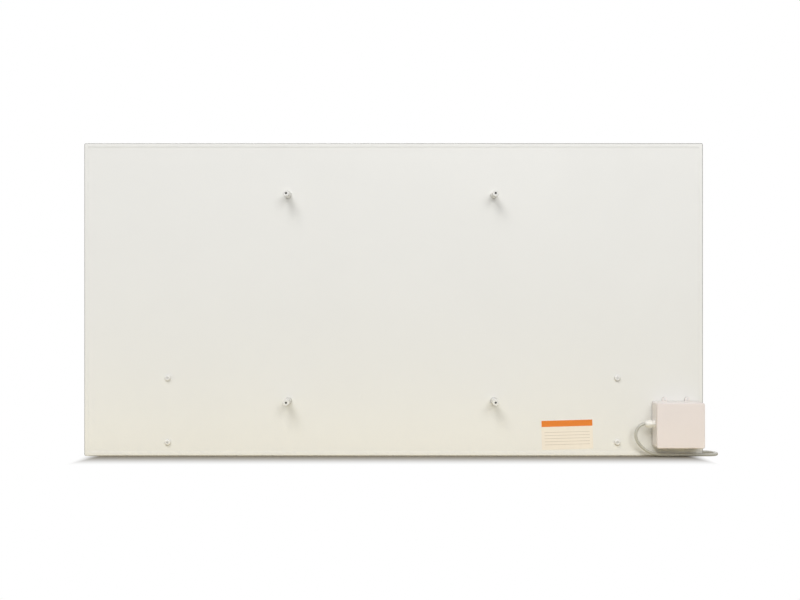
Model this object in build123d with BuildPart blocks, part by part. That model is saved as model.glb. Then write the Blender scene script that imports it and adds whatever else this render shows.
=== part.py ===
from build123d import *
import math
import os

# A flat radiant panel heater that hangs on a wall by four posts, with a junction box and a mains lead at its rear.
# Millimetres. X runs along the panel, Z up from the floor, and the radiating face looks along -Y.
# The origin is on the floor, under the middle of the heater's box without its mains lead.

# Casing: a folded tray closed by a flat rear cover that lies under the tray's return flanges
panel_width = 1205.0
panel_height = 609.0
panel_depth = 22.0
tray_sheet = 0.8
tray_fold_radius = 2.4
tray_corner_radius = 3.0
flange_width = 7.5
cover_sheet = 0.8
cover_gap = 0.4

# Wall posts, on a square pattern
post_reach = 42.0
post_spacing = 400.0
post_centre_x = 5.0
post_centre_z = 307.5
post_radius = 6.2
post_chamfer = 0.8
post_thread_radius = 2.1
post_thread_depth = 14.0
post_stud_radius = 3.0
post_stud_length = 9.0
post_nut_radius = 4.5
post_nut_length = 12.0
post_nut_flange_radius = 6.8

# Foot fixing points, on a rectangle
foot_spacing_x = 875.0
foot_spacing_z = 125.0
foot_centre_x = 2.25
foot_centre_z = 89.3
foot_nut_radius = 3.5
foot_nut_length = 11.0
foot_nut_flange_radius = 5.0
foot_nut_flange = 0.8
foot_screw_radius = 2.5
foot_screw_length = 9.0
foot_head_radius = 5.6
foot_head_height = 4.4
foot_head_round = 2.2
foot_recess_width = 1.3
foot_recess_length = 5.6
foot_recess_depth = 1.6

# Heating layers, from the front sheet to the rear
element_width = 1150.0
element_height = 550.0
film_thickness = 0.5
element_thickness = 1.0
bus_bar_width = 12.0
bus_bar_thickness = 0.3
bus_bar_inset = 6.5
bus_lug_width = 10.0
bus_lug_thickness = 0.8
foil_thickness = 0.2
board_margin = 2.5

# Stiffener channels that carry the wall posts
rail_width = 40.0
rail_depth = 8.0
rail_sheet = 1.2
rail_length = 490.0
fit_gap = 0.5

# Junction box
box_width = 92.0
box_height = 87.0
box_depth = 40.0
box_side_inset = 7.5
box_bottom_z = 19.5
box_wall = 2.4
box_corner_radius = 4.0
box_gasket = 1.0
lid_depth = 5.0
lid_edge_radius = 2.2
lid_lip_height = 2.4
lid_lip_wall = 1.1
lid_notch_width = 9.0
lid_notch_height = 1.2
lid_notch_depth = 2.6
lid_notch_offset = 21.5
lug_offset = 22.0
lug_width = 9.0
lug_reach = 8.5
lug_screw_inset = 4.5
lug_screw_radius = 1.45
lug_screw_length = 9.0
lug_head_radius = 2.6
lug_head_height = 1.9

# Cable gland, on the box's side
gland_height_z = 65.0
gland_from_cover = 21.8
gland_washer = 1.0
gland_collar = 3.5
gland_across_flats = 14.4
gland_thread_radius = 6.1
gland_bore_radius = 3.7
gland_inner_length = 10.0
gland_outer_length = 11.0
gland_seal_radius = 4.9
gland_seal_length = 7.0
gland_nut_length = 4.0
gland_cap_gap = 1.3
gland_mouth_x = -484.0
gland_mouth_radius = 3.3
gland_dome_radius = 4.9

# Mains lead and its route from the gland's mouth, round the panel's edge and to the hank in front of it
cord_radius = 3.0
cord_floor_z = 3.05
cord_inside_length = 34.0
lead_route = [
    (-484.0, 11.0, 65.0),
    (-478.6, 11.0, 65.0),
    (-470.6, 10.9, 57.8),
    (-466.0, 10.4, 46.8),
    (-468.0, 9.2, 33.5),
    (-478.5, 6.8, 19.8),
    (-495.0, 3.0, 7.8),
    (-520.0, -2.5, cord_floor_z),
    (-552.0, -5.6, cord_floor_z),
    (-586.0, -5.0, cord_floor_z),
    (-605.0, -5.4, cord_floor_z),
    (-621.0, -5.6, cord_floor_z),
    (-631.6, -16.1, cord_floor_z),
    (-631.6, -31.0, cord_floor_z),
    (-621.0, -41.6, cord_floor_z),
    (-603.5, -43.6, cord_floor_z),
    (-587.5, -51.0, cord_floor_z),
    (-576.5, -65.0, cord_floor_z),
    (-566.0, -78.4, 3.4),
    (-552.0, -85.8, 3.9),
]
plug_route = [
    (-482.0, -86.4, 16.4),
    (-470.0, -84.4, 16.8),
    (-452.0, -74.0, 17.6),
    (-434.0, -65.0, 18.0),
    (-420.0, -65.0, 18.0),
]

# Hank of the put-away length, tied round its middle
hank_x = -515.0
hank_y = -62.3
hank_bottom_z = 0.9
hank_height = 18.5
hank_fold_offset = 25.7
hank_outer_radius = 27.4
hank_inner_radius = 14.9
hank_waist = 4.5
hank_round = 2.4
tie_width = 10.0
tie_thickness = 0.8
tie_half_span = 23.8

# Mains plug, lying on the floor with its pins towards +X
plug_axis_y = -65.0
plug_axis_z = 18.0
plug_boot_x = -420.0
plug_boot_length = 30.0
plug_boot_rear_radius = 4.2
plug_boot_front_radius = 6.5
plug_body_length = 36.0
plug_body_radius = 19.0
plug_grip_radius = 13.0
plug_pin_radius = 2.4
plug_pin_length = 19.0
plug_pin_spacing = 19.0
plug_clip_width = 6.0
plug_clip_thickness = 0.8
plug_clip_length = 16.0
plug_flat_half = 17.95

# Rating plate, left bare
label_width = 100.0
label_height = 57.0
label_band_height = 12.5
label_thickness = 0.15
label_band_thickness = 0.1
label_x = -338.0
label_z = 41.2
label_turn = -1.6

# Wiring
wire_radius = 1.3
core_radius = 0.95
block_length = 16.0
block_height = 27.0
block_depth = 14.0
block_x = -548.0
pole_pitch = 8.5
clamp_side = 4.4
clamp_bore_radius = 1.4
terminal_screw_radius = 1.3
grommet_x = -573.0
grommet_z = 76.0
grommet_hole_radius = 8.0
earth_stud_x = -573.0
earth_stud_z = 41.0
earth_stud_radius = 2.0
cutout_x = -520.0
cutout_z = 112.0
cutout_radius = 8.0
cutout_height = 6.0

# Planes through the thickness
overall_depth = panel_depth + post_reach
front_y = -overall_depth / 2
back_y = front_y + panel_depth
cover_y = back_y - tray_sheet
cover_inner_y = cover_y - cover_sheet
post_tip_y = back_y + post_reach
element_y = front_y + tray_sheet + film_thickness
rear_film_y = element_y + element_thickness
foil_y = rear_film_y + film_thickness
board_y = foil_y + foil_thickness
mid_z = panel_height / 2

# Junction box planes and places
box_x = -panel_width / 2 + box_side_inset + box_width / 2
box_z = box_bottom_z + box_height / 2
box_side_x = box_x + box_width / 2
base_y = cover_y + box_gasket
floor_y = base_y + box_wall
joint_y = cover_y + box_depth - lid_depth
box_face_y = cover_y + box_depth
gland_y = cover_y + gland_from_cover
lug_xs = (box_x - lug_offset, box_x + lug_offset)
lug_zs = (box_bottom_z - lug_screw_inset, box_bottom_z + box_height + lug_screw_inset)
lug_points = [(x, z) for x in lug_xs for z in lug_zs]
pole_zs = [gland_height_z + k * pole_pitch for k in (-1, 0, 1)]
clamp_y = floor_y + block_depth / 2

post_xs = (post_centre_x - post_spacing / 2, post_centre_x + post_spacing / 2)
post_zs = (post_centre_z - post_spacing / 2, post_centre_z + post_spacing / 2)
post_points = [(x, z) for x in post_xs for z in post_zs]
foot_points = [
    (foot_centre_x + i * foot_spacing_x / 2, foot_centre_z + k * foot_spacing_z / 2)
    for i in (-1, 1)
    for k in (-1, 1)
]
bus_bar_zs = [mid_z + k * (element_height / 2 - bus_bar_inset) for k in (-1, 1)]
bus_lug_x = -element_width / 2 + bus_lug_width
cavity_width = panel_width - 2 * tray_sheet
cavity_height = panel_height - 2 * tray_sheet


# A sketch plane square to Y: its own x is X, its own y is Z, and a negative extrusion goes to the rear
def plane_at(y):
    return Plane.XZ.offset(-y)


# A sketch plane square to X: its own x is Y, its own y is Z, and a positive extrusion goes to +X
def side_plane_at(x):
    return Plane.YZ.offset(x)


# A smooth tube along a list of points, each corner rounded by the arc that its two runs allow
def routed_tube(points, radius, name):
    points = [Vector(*point) for point in points]
    runs = [b - a for a, b in zip(points, points[1:])]
    radii = []
    for before, after in zip(runs, runs[1:]):
        turn = math.radians(before.get_angle(after))
        radii.append(0.45 * min(before.length, after.length) / math.tan(turn / 2))
    with BuildPart() as tube:
        with BuildLine() as path:
            FilletPolyline(*points, radius=radii)
        with BuildSketch(Plane(origin=path.line @ 0, z_dir=path.line % 0)):
            Circle(radius)
        sweep()
    length = path.wire().length
    expected = math.pi * radius**2 * length
    print(name, "length", round(length, 1), "radii", [round(r, 1) for r in radii])
    print(name, "volume over section times length", round(tube.part.volume / expected, 4))
    return tube


# Folded front tray: front sheet, four walls and a return flange all round the rear
with BuildPart() as front_tray:
    with BuildSketch(plane_at(front_y)):
        with Locations((0, mid_z)):
            RectangleRounded(panel_width, panel_height, tray_corner_radius)
    extrude(amount=-panel_depth)
    fillet(front_tray.edges().group_by(Axis.Y)[0], tray_fold_radius)
    fillet(front_tray.edges().group_by(Axis.Y)[-1], tray_fold_radius)
    with BuildSketch(plane_at(front_y + tray_sheet)):
        with Locations((0, mid_z)):
            RectangleRounded(cavity_width, cavity_height, tray_corner_radius - tray_sheet)
    extrude(amount=-(panel_depth - 2 * tray_sheet), mode=Mode.SUBTRACT)
    with BuildSketch(plane_at(cover_y)):
        with Locations((0, mid_z)):
            RectangleRounded(
                panel_width - 2 * flange_width, panel_height - 2 * flange_width, tray_corner_radius
            )
    extrude(amount=-tray_sheet, mode=Mode.SUBTRACT)


# A plain sheet centred on the panel, from its front face at the given y
def sheet(y, thickness, width, height):
    with BuildPart() as flat:
        with BuildSketch(plane_at(y)):
            with Locations((0, mid_z)):
                Rectangle(width, height)
        extrude(amount=-thickness)
    return flat


# Heating layers: insulating film, resistive laminate, film and foil, with the strips between the bus bars
strip_height = element_height - 4 * bus_bar_inset
front_film = sheet(front_y + tray_sheet, film_thickness, element_width + 20, element_height + 20)
heating_element = sheet(element_y, element_thickness, element_width, element_height)
rear_film = sheet(rear_film_y, film_thickness, element_width - 20, strip_height)
reflector_foil = sheet(foil_y, foil_thickness, element_width - 30, strip_height - 10)

with BuildPart() as bus_bars:
    with BuildSketch(plane_at(rear_film_y)):
        with Locations(*[(0, z) for z in bus_bar_zs]):
            Rectangle(element_width - 10, bus_bar_width)
    extrude(amount=-bus_bar_thickness)

with BuildPart() as bus_lugs:
    with BuildSketch(plane_at(rear_film_y + bus_bar_thickness)):
        with Locations(*[(bus_lug_x, z) for z in bus_bar_zs]):
            RectangleRounded(bus_lug_width, bus_lug_width, 1.5)
    extrude(amount=-bus_lug_thickness)

# Insulation board, cut out for the stiffeners, the nuts, the thermal cutout and the wiring
channel_x = -element_width / 2 + bus_lug_width
channel_width = 16.0
channel_depth = 9.0
pocket_start_x = channel_x - channel_width / 2
pocket_end_x = cutout_x + cutout_radius + 2
with BuildPart() as insulation_board:
    with BuildSketch(plane_at(board_y)):
        with Locations((0, mid_z)):
            Rectangle(cavity_width - 2 * board_margin, cavity_height - 2 * board_margin)
    extrude(amount=-(cover_inner_y - board_y))
    with BuildSketch(plane_at(cover_inner_y)):
        with Locations(*[(x, post_centre_z) for x in post_xs]):
            Rectangle(rail_width + 2 * fit_gap, rail_length + 2 * fit_gap)
    extrude(amount=rail_depth + fit_gap, mode=Mode.SUBTRACT)
    with BuildSketch(plane_at(cover_inner_y)):
        with Locations(*foot_points):
            Circle(foot_nut_radius + fit_gap)
        with Locations(*post_points):
            Circle(post_nut_radius + fit_gap)
        with Locations(*lug_points):
            Circle(lug_screw_radius + fit_gap)
    extrude(amount=post_nut_length + fit_gap, mode=Mode.SUBTRACT)
    with BuildSketch(plane_at(board_y)):
        with Locations((channel_x, mid_z)):
            Rectangle(channel_width, element_height + channel_width)
        with Locations(((pocket_start_x + pocket_end_x) / 2, cutout_z)):
            Rectangle(pocket_end_x - pocket_start_x, 2 * cutout_radius + 4)
    extrude(amount=-channel_depth, mode=Mode.SUBTRACT)
    with BuildSketch(plane_at(board_y)):
        with Locations((grommet_x, grommet_z), (earth_stud_x, earth_stud_z)):
            Circle(grommet_hole_radius)
    extrude(amount=-(cover_inner_y - board_y), mode=Mode.SUBTRACT)


# Stiffener channel behind two wall posts, open towards the front
def stiffener(x):
    rail_y = cover_inner_y - rail_depth / 2
    with BuildPart() as rail:
        with BuildSketch(Plane.XY.offset(post_centre_z - rail_length / 2)):
            with Locations((x, rail_y)):
                Rectangle(rail_width, rail_depth)
            with Locations((x, rail_y - rail_sheet)):
                Rectangle(rail_width - 2 * rail_sheet, rail_depth, mode=Mode.SUBTRACT)
        extrude(amount=rail_length)
        with BuildSketch(plane_at(cover_inner_y)):
            with Locations(*[(x, z) for z in post_zs]):
                Circle(post_nut_radius)
        extrude(amount=rail_depth, mode=Mode.SUBTRACT)
    return rail


stiffener_box_side = stiffener(post_xs[0])
stiffener_plain_side = stiffener(post_xs[1])

# Flat rear cover with its nut, wiring and box-screw holes
with BuildPart() as rear_cover:
    with BuildSketch(plane_at(cover_inner_y)):
        with Locations((0, mid_z)):
            RectangleRounded(
                cavity_width - 2 * cover_gap, cavity_height - 2 * cover_gap, tray_corner_radius - tray_sheet
            )
        with Locations(*post_points):
            Circle(post_nut_flange_radius + 0.1, mode=Mode.SUBTRACT)
        with Locations(*foot_points):
            Circle(foot_nut_radius, mode=Mode.SUBTRACT)
        with Locations(*lug_points):
            Circle(lug_screw_radius, mode=Mode.SUBTRACT)
        with Locations((grommet_x, grommet_z)):
            Circle(grommet_hole_radius, mode=Mode.SUBTRACT)
        with Locations((earth_stud_x, earth_stud_z)):
            Circle(earth_stud_radius, mode=Mode.SUBTRACT)
    extrude(amount=-cover_sheet)

# Rivet nuts for the wall posts, each flange level with the cover's rear face
with BuildPart() as wall_post_nuts:
    with BuildSketch(plane_at(cover_inner_y)):
        with Locations(*post_points):
            Circle(post_nut_flange_radius)
    extrude(amount=-cover_sheet)
    with BuildSketch(plane_at(cover_inner_y)):
        with Locations(*post_points):
            Circle(post_nut_radius)
    extrude(amount=post_nut_length)
    with BuildSketch(plane_at(cover_y)):
        with Locations(*post_points):
            Circle(post_stud_radius)
    extrude(amount=post_stud_length + 1, mode=Mode.SUBTRACT)

# Wall posts: a stud into the nut and a tapped bore at the wall end
with BuildPart() as wall_posts:
    with BuildSketch(plane_at(cover_y)):
        with Locations(*post_points):
            Circle(post_radius)
    extrude(amount=-(post_tip_y - cover_y))
    chamfer(wall_posts.edges().group_by(Axis.Y)[-1], post_chamfer)
    with BuildSketch(plane_at(post_tip_y)):
        with Locations(*post_points):
            Circle(post_thread_radius)
    extrude(amount=post_thread_depth, mode=Mode.SUBTRACT)
    with BuildSketch(plane_at(cover_y)):
        with Locations(*post_points):
            Circle(post_stud_radius)
    extrude(amount=post_stud_length)

# Rivet nuts and pan-head screws at the foot fixing points
foot_head_y = cover_y + foot_nut_flange
with BuildPart() as foot_nuts:
    with BuildSketch(plane_at(cover_y)):
        with Locations(*foot_points):
            Circle(foot_nut_flange_radius)
    extrude(amount=-foot_nut_flange)
    with BuildSketch(plane_at(cover_y)):
        with Locations(*foot_points):
            Circle(foot_nut_radius)
    extrude(amount=foot_nut_length)
    with BuildSketch(plane_at(foot_head_y)):
        with Locations(*foot_points):
            Circle(foot_screw_radius)
    extrude(amount=foot_screw_length + 1, mode=Mode.SUBTRACT)

with BuildPart() as foot_screws:
    with BuildSketch(plane_at(foot_head_y)):
        with Locations(*foot_points):
            Circle(foot_head_radius)
    extrude(amount=-foot_head_height)
    fillet(foot_screws.edges().group_by(Axis.Y)[-1], foot_head_round)
    with BuildSketch(plane_at(foot_head_y)):
        with Locations(*foot_points):
            Circle(foot_screw_radius)
    extrude(amount=foot_screw_length)
    with BuildSketch(plane_at(foot_head_y + foot_head_height)):
        with Locations(*foot_points):
            Rectangle(foot_recess_length, foot_recess_width)
            Rectangle(foot_recess_width, foot_recess_length)
    extrude(amount=foot_recess_depth, mode=Mode.SUBTRACT)


# Outline of the junction box's back, with its four fixing lugs
def box_back_outline():
    with Locations((box_x, box_z)):
        RectangleRounded(box_width, box_height, box_corner_radius)
    with Locations(*[(x, box_z) for x in lug_xs]):
        RectangleRounded(lug_width, box_height + 2 * lug_reach, lug_width / 2 - 0.2)


with BuildPart() as box_gasket_pad:
    with BuildSketch(plane_at(cover_y)):
        box_back_outline()
        with Locations(*lug_points):
            Circle(lug_screw_radius, mode=Mode.SUBTRACT)
        with Locations((grommet_x, grommet_z)):
            Circle(grommet_hole_radius, mode=Mode.SUBTRACT)
        with Locations((earth_stud_x, earth_stud_z)):
            Circle(earth_stud_radius, mode=Mode.SUBTRACT)
    extrude(amount=-box_gasket)

# Junction box base: walls, lugs, the lip that the lid laps, and its holes
lip_inset = box_wall - lid_lip_wall
with BuildPart() as box_base:
    with BuildSketch(plane_at(base_y)):
        box_back_outline()
    extrude(amount=-box_wall)
    with BuildSketch(plane_at(floor_y)):
        with Locations((box_x, box_z)):
            RectangleRounded(box_width, box_height, box_corner_radius)
            RectangleRounded(
                box_width - 2 * box_wall,
                box_height - 2 * box_wall,
                box_corner_radius - box_wall,
                mode=Mode.SUBTRACT,
            )
    extrude(amount=-(joint_y - floor_y))
    with BuildSketch(plane_at(joint_y)):
        with Locations((box_x, box_z)):
            RectangleRounded(
                box_width - 2 * lip_inset, box_height - 2 * lip_inset, box_corner_radius - lip_inset
            )
            RectangleRounded(
                box_width - 2 * box_wall,
                box_height - 2 * box_wall,
                box_corner_radius - box_wall,
                mode=Mode.SUBTRACT,
            )
    extrude(amount=-lid_lip_height)
    with BuildSketch(plane_at(base_y)):
        with Locations(*lug_points):
            Circle(lug_screw_radius)
        with Locations((grommet_x, grommet_z)):
            Circle(grommet_hole_radius)
        with Locations((earth_stud_x, earth_stud_z)):
            Circle(earth_stud_radius)
    extrude(amount=-box_wall, mode=Mode.SUBTRACT)
    with BuildSketch(side_plane_at(box_side_x)):
        with Locations((gland_y, gland_height_z)):
            Circle(gland_thread_radius + 0.1)
    extrude(amount=-box_wall, mode=Mode.SUBTRACT)

# Snap-on lid with a rounded face edge and two pry notches along its lower edge
with BuildPart() as box_lid:
    with BuildSketch(plane_at(joint_y)):
        with Locations((box_x, box_z)):
            RectangleRounded(box_width, box_height, box_corner_radius)
    extrude(amount=-lid_depth)
    fillet(box_lid.edges().group_by(Axis.Y)[-1], lid_edge_radius)
    with BuildSketch(plane_at(joint_y)):
        with Locations((box_x, box_z)):
            RectangleRounded(
                box_width - 2 * lip_inset + 0.2,
                box_height - 2 * lip_inset + 0.2,
                box_corner_radius - lip_inset,
            )
    extrude(amount=-(lid_lip_height + 0.2), mode=Mode.SUBTRACT)
    with BuildSketch(plane_at(box_face_y)):
        with Locations(
            *[(box_x + k * lid_notch_offset, box_bottom_z + lid_notch_height / 2) for k in (-1, 1)]
        ):
            Rectangle(lid_notch_width, lid_notch_height)
    extrude(amount=lid_notch_depth, mode=Mode.SUBTRACT)

# Pan-head screws through the box's lugs
with BuildPart() as box_screws:
    with BuildSketch(plane_at(floor_y)):
        with Locations(*lug_points):
            Circle(lug_head_radius)
    extrude(amount=-lug_head_height)
    fillet(box_screws.edges().group_by(Axis.Y)[-1], 0.9)
    with BuildSketch(plane_at(floor_y + lug_head_height)):
        with Locations(*lug_points):
            Rectangle(2.6, 0.7)
            Rectangle(0.7, 2.6)
    extrude(amount=0.9, mode=Mode.SUBTRACT)
    with BuildSketch(plane_at(floor_y)):
        with Locations(*lug_points):
            Circle(lug_screw_radius)
    extrude(amount=lug_screw_length)


# A ring or disc along X, square to the gland's axis
def gland_ring(x, length, outer, inner):
    with BuildPart() as ring:
        with BuildSketch(side_plane_at(x)):
            with Locations((gland_y, gland_height_z)):
                Circle(outer)
                Circle(inner, mode=Mode.SUBTRACT)
        extrude(amount=length)
    return ring


# Cable gland: washer, body, locknut, seal and dome nut
collar_x = box_side_x + gland_washer
thread_x = collar_x + gland_collar
body_end_x = thread_x + gland_outer_length
gland_hex_radius = gland_across_flats / 2 / math.cos(math.pi / 6)
gland_washer_ring = gland_ring(box_side_x, gland_washer, gland_across_flats / 2, gland_thread_radius + 0.1)
gland_seal = gland_ring(body_end_x - gland_seal_length, gland_seal_length, gland_seal_radius, cord_radius)

with BuildPart() as gland_body:
    with BuildSketch(side_plane_at(collar_x)):
        with Locations((gland_y, gland_height_z)):
            RegularPolygon(gland_hex_radius, 6)
    extrude(amount=gland_collar)
    with BuildSketch(side_plane_at(collar_x - gland_inner_length)):
        with Locations((gland_y, gland_height_z)):
            Circle(gland_thread_radius)
    extrude(amount=gland_inner_length + gland_collar + gland_outer_length)
    with BuildSketch(side_plane_at(collar_x - gland_inner_length)):
        with Locations((gland_y, gland_height_z)):
            Circle(gland_bore_radius)
    extrude(amount=gland_inner_length + gland_collar + gland_outer_length, mode=Mode.SUBTRACT)
    with BuildSketch(side_plane_at(body_end_x)):
        with Locations((gland_y, gland_height_z)):
            Circle(gland_seal_radius)
    extrude(amount=-gland_seal_length, mode=Mode.SUBTRACT)

with BuildPart() as gland_locknut:
    with BuildSketch(side_plane_at(box_side_x - box_wall)):
        with Locations((gland_y, gland_height_z)):
            RegularPolygon(gland_hex_radius, 6)
            Circle(gland_thread_radius + 0.05, mode=Mode.SUBTRACT)
    extrude(amount=-gland_nut_length)

cap_x = thread_x + gland_cap_gap
cap_length = gland_mouth_x - cap_x
hex_length = 0.5 * cap_length
with BuildPart() as gland_cap:
    with BuildSketch(side_plane_at(cap_x)):
        with Locations((gland_y, gland_height_z)):
            RegularPolygon(gland_hex_radius, 6)
    extrude(amount=hex_length)
    chamfer(gland_cap.edges().group_by(Axis.X)[0], 0.6)
    with BuildSketch(side_plane_at(cap_x + hex_length)):
        with Locations((gland_y, gland_height_z)):
            Circle(gland_across_flats / 2 - 0.2)
    with BuildSketch(side_plane_at(cap_x + 0.8 * cap_length)):
        with Locations((gland_y, gland_height_z)):
            Circle(gland_dome_radius + 1.5)
    with BuildSketch(side_plane_at(gland_mouth_x)):
        with Locations((gland_y, gland_height_z)):
            Circle(gland_dome_radius)
    loft(ruled=True)
    with BuildSketch(side_plane_at(cap_x)):
        with Locations((gland_y, gland_height_z)):
            Circle(gland_thread_radius + 0.1)
    extrude(amount=body_end_x + 0.3 - cap_x, mode=Mode.SUBTRACT)
    with BuildSketch(side_plane_at(cap_x)):
        with Locations((gland_y, gland_height_z)):
            Circle(gland_mouth_radius)
    extrude(amount=cap_length, mode=Mode.SUBTRACT)

# Mains lead: its end inside the gland and box, the free run, the hank, and the run to the plug
with BuildPart() as cord_inside:
    with BuildSketch(side_plane_at(gland_mouth_x)):
        with Locations((gland_y, gland_height_z)):
            Circle(cord_radius)
    extrude(amount=-cord_inside_length)

cord_lead = routed_tube(lead_route, cord_radius, "cord_lead")
cord_plug_run = routed_tube(plug_route, cord_radius, "cord_plug_run")


# Long outline of the hank: two round folds joined by sides that draw in at the tie
def hank_outline(radius):
    with BuildLine() as outline:
        for k in (-1, 1):
            Spline(
                (-hank_fold_offset, k * radius),
                (0, k * (radius - hank_waist)),
                (hank_fold_offset, k * radius),
                tangents=[(1, 0), (1, 0)],
            )
            ThreePointArc(
                (k * hank_fold_offset, radius),
                (k * (hank_fold_offset + radius), 0),
                (k * hank_fold_offset, -radius),
            )
    return outline.edges()


with BuildPart() as cord_hank:
    with BuildSketch(Plane((hank_x, hank_y, hank_bottom_z))):
        make_face(hank_outline(hank_outer_radius))
    extrude(amount=hank_height)
    fillet(cord_hank.edges().group_by(Axis.Z)[0], hank_round)
    fillet(cord_hank.edges().group_by(Axis.Z)[-1], hank_round)
    with BuildSketch(Plane((hank_x, hank_y, hank_bottom_z))):
        make_face(hank_outline(hank_inner_radius))
    extrude(amount=hank_height, mode=Mode.SUBTRACT)

tie_top_z = hank_bottom_z + hank_height + 0.1
with BuildPart() as cord_tie:
    with BuildSketch(side_plane_at(hank_x - tie_width / 2)):
        with Locations((hank_y, (tie_top_z + tie_thickness) / 2)):
            RectangleRounded(2 * (tie_half_span + tie_thickness), tie_top_z + tie_thickness, 3.0)
            RectangleRounded(2 * tie_half_span, tie_top_z - tie_thickness, 2.2, mode=Mode.SUBTRACT)
    extrude(amount=tie_width)

# Mains plug: boot, body with its two earth recesses, pins and earth clips
plug_body_x = plug_boot_x + plug_boot_length
plug_face_x = plug_body_x + plug_body_length
with BuildPart() as plug_boot:
    with BuildSketch(side_plane_at(plug_boot_x)):
        with Locations((plug_axis_y, plug_axis_z)):
            Circle(plug_boot_rear_radius)
    with BuildSketch(side_plane_at(plug_body_x)):
        with Locations((plug_axis_y, plug_axis_z)):
            Circle(plug_boot_front_radius)
    loft()

with BuildPart() as plug_body:
    with BuildSketch(Plane((plug_body_x, plug_axis_y, plug_axis_z))):
        with BuildLine():
            Polyline((0, 0), (0, plug_boot_front_radius + 2), (2, plug_grip_radius), (14, plug_grip_radius))
            Line((14, plug_grip_radius), (21, plug_body_radius))
            Polyline(
                (21, plug_body_radius),
                (plug_body_length - 1, plug_body_radius),
                (plug_body_length, plug_body_radius - 1),
                (plug_body_length, 0),
                (0, 0),
            )
        make_face()
    revolve(axis=Axis((plug_body_x, plug_axis_y, plug_axis_z), (1, 0, 0)))
    with BuildSketch(side_plane_at(plug_body_x)):
        for k in (-1, 1):
            with Locations((plug_axis_y, plug_axis_z + k * (plug_flat_half + 5))):
                Rectangle(2 * plug_body_radius, 10)
    extrude(amount=plug_body_length, mode=Mode.SUBTRACT)
    with BuildSketch(side_plane_at(plug_face_x)):
        for k in (-1, 1):
            with Locations((plug_axis_y, plug_axis_z + k * plug_flat_half)):
                Rectangle(plug_clip_width + 3, 5)
    extrude(amount=-(plug_clip_length + 1), mode=Mode.SUBTRACT)

with BuildPart() as plug_pins:
    with BuildSketch(side_plane_at(plug_face_x)):
        for k in (-1, 1):
            with Locations((plug_axis_y + k * plug_pin_spacing / 2, plug_axis_z)):
                Circle(plug_pin_radius)
    extrude(amount=plug_pin_length)
    fillet(plug_pins.edges().group_by(Axis.X)[-1], 1.6)

with BuildPart() as plug_clips:
    with BuildSketch(side_plane_at(plug_face_x)):
        for k in (-1, 1):
            with Locations((plug_axis_y, plug_axis_z + k * (plug_flat_half - 2.5 + plug_clip_thickness / 2))):
                Rectangle(plug_clip_width, plug_clip_thickness)
    extrude(amount=-plug_clip_length)

# Rating plate: a plain sticker with a coloured band along its top
with BuildPart() as rating_plate:
    with BuildSketch(plane_at(cover_y)):
        with Locations(Location((label_x, label_z), label_turn)):
            RectangleRounded(label_width, label_height, 1.5)
    extrude(amount=-label_thickness)

with BuildPart() as rating_band:
    with BuildSketch(plane_at(cover_y + label_thickness)):
        with Locations(Location((label_x, label_z), label_turn)):
            with Locations((0, (label_height - label_band_height) / 2)):
                Rectangle(label_width - 1.0, label_band_height - 0.5)
    extrude(amount=-label_band_thickness)

# Terminal block with its clamps and screws
with BuildPart() as terminal_block:
    with BuildSketch(plane_at(floor_y)):
        with Locations((block_x, gland_height_z)):
            RectangleRounded(block_length, block_height, 1.0)
    extrude(amount=-block_depth)
    with BuildSketch(side_plane_at(block_x - block_length / 2)):
        with Locations(*[(clamp_y, z) for z in pole_zs]):
            Rectangle(clamp_side, clamp_side)
    extrude(amount=block_length, mode=Mode.SUBTRACT)
    with BuildSketch(plane_at(floor_y + block_depth)):
        with Locations(*[(block_x + k * block_length / 4, z) for z in pole_zs for k in (-1, 1)]):
            Circle(terminal_screw_radius + 0.4)
    extrude(amount=block_depth / 2, mode=Mode.SUBTRACT)

with BuildPart() as terminal_clamps:
    with BuildSketch(side_plane_at(block_x - block_length / 2 + 1)):
        with Locations(*[(clamp_y, z) for z in pole_zs]):
            Rectangle(clamp_side - 0.1, clamp_side - 0.1)
            Circle(clamp_bore_radius, mode=Mode.SUBTRACT)
    extrude(amount=block_length - 2)
    with BuildSketch(plane_at(clamp_y + clamp_side)):
        with Locations(*[(block_x + k * block_length / 4, z) for z in pole_zs for k in (-1, 1)]):
            Circle(terminal_screw_radius)
    extrude(amount=clamp_side, mode=Mode.SUBTRACT)

with BuildPart() as terminal_screws:
    with BuildSketch(plane_at(clamp_y + clamp_bore_radius)):
        with Locations(*[(block_x + k * block_length / 4, z) for z in pole_zs for k in (-1, 1)]):
            Circle(terminal_screw_radius - 0.05)
    extrude(amount=-(block_depth / 2 - clamp_bore_radius - 1))


# Short round wire along corner points, all corners with one radius
def wire(points, radius, bend):
    with BuildPart() as strand:
        with BuildLine() as path:
            FilletPolyline(*points, radius=bend)
        with BuildSketch(Plane(origin=path.line @ 0, z_dir=path.line % 0)):
            Circle(radius)
        sweep()
    return strand


# Cores of the mains lead, from the sheath's end to their clamps
sheath_end_x = gland_mouth_x - cord_inside_length
core_end_x = block_x + block_length / 2 - 4
core_ring = 1.3
cores = []
for k, pole_z in zip((-1, 0, 1), pole_zs):
    start_y = gland_y + (core_ring / 2 if k else -core_ring)
    start_z = gland_height_z + k * core_ring * math.cos(math.pi / 6)
    cores.append(
        wire(
            [
                (sheath_end_x, start_y, start_z),
                (sheath_end_x - 4, start_y, start_z),
                (core_end_x + 7, clamp_y, pole_z),
                (core_end_x, clamp_y, pole_z),
            ],
            core_radius,
            2.0,
        )
    )
core_earth, core_live, core_neutral = cores

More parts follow.
